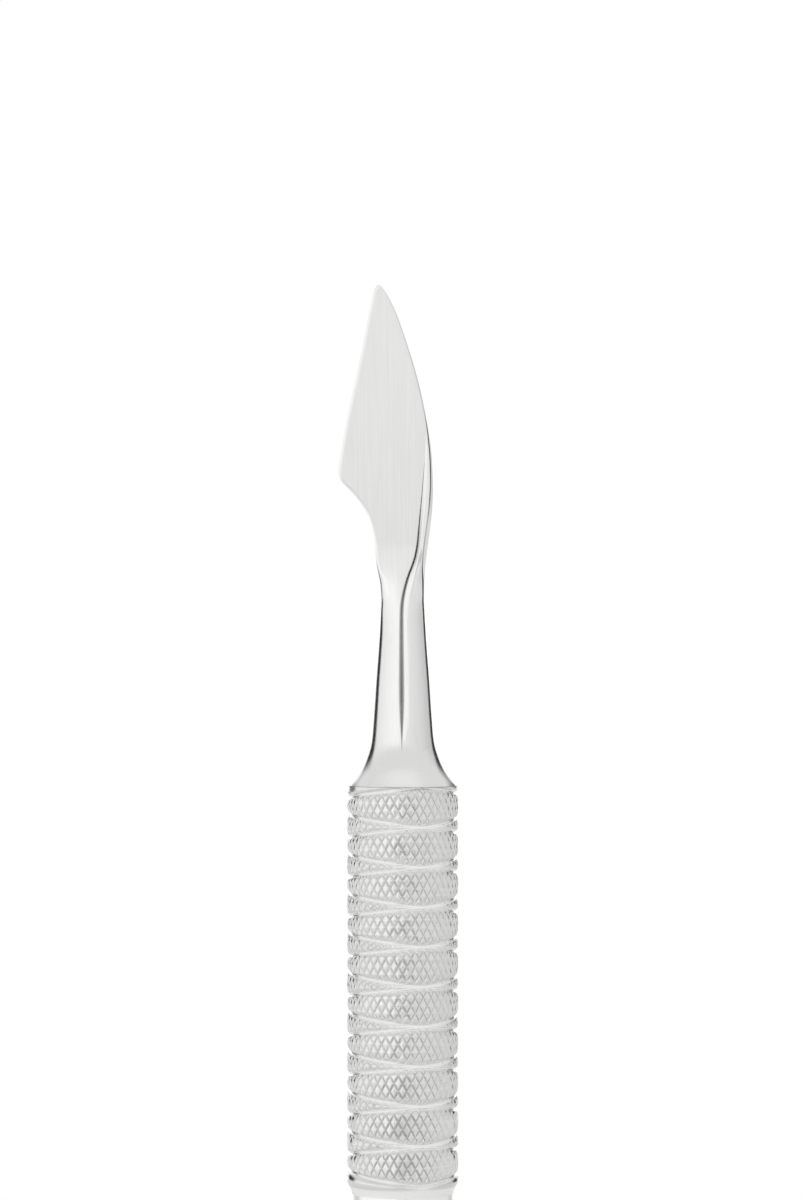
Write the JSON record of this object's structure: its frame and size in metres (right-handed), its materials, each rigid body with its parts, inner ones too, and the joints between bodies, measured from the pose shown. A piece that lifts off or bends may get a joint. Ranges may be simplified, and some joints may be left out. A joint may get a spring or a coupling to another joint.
{
  "type": "double-ended steel hand tool",
  "caption": "Slim steel hand tool: hollow knurled handle with spiral grooves, a pointed blade at one end and a rounded cupped pusher at the other.",
  "frame": {"origin": "on the tool's axis, half way along the handle, where the smooth middle of the handle is held", "axes": "+Z along the tool towards the blade's point; -Y is the side that the blade's flat face looks to; -X is the side of the blade's heel"},
  "size_m": [0.0086, 0.008, 0.1427],
  "materials": {
    "handle_steel": "bright satin stainless steel, diamond knurl between polished spiral grooves",
    "tip_steel": "fine satin polished stainless steel with faint lengthwise grinding lines",
    "braze_filler": "pale silver braze alloy, satin"
  },
  "bodies": {
    "root": {"handle_tube": "handle_steel", "blade_tip": "tip_steel", "pusher_tip": "tip_steel", "blade_braze_ring": "braze_filler", "pusher_braze_ring": "braze_filler"}
  },
  "joints": []
}
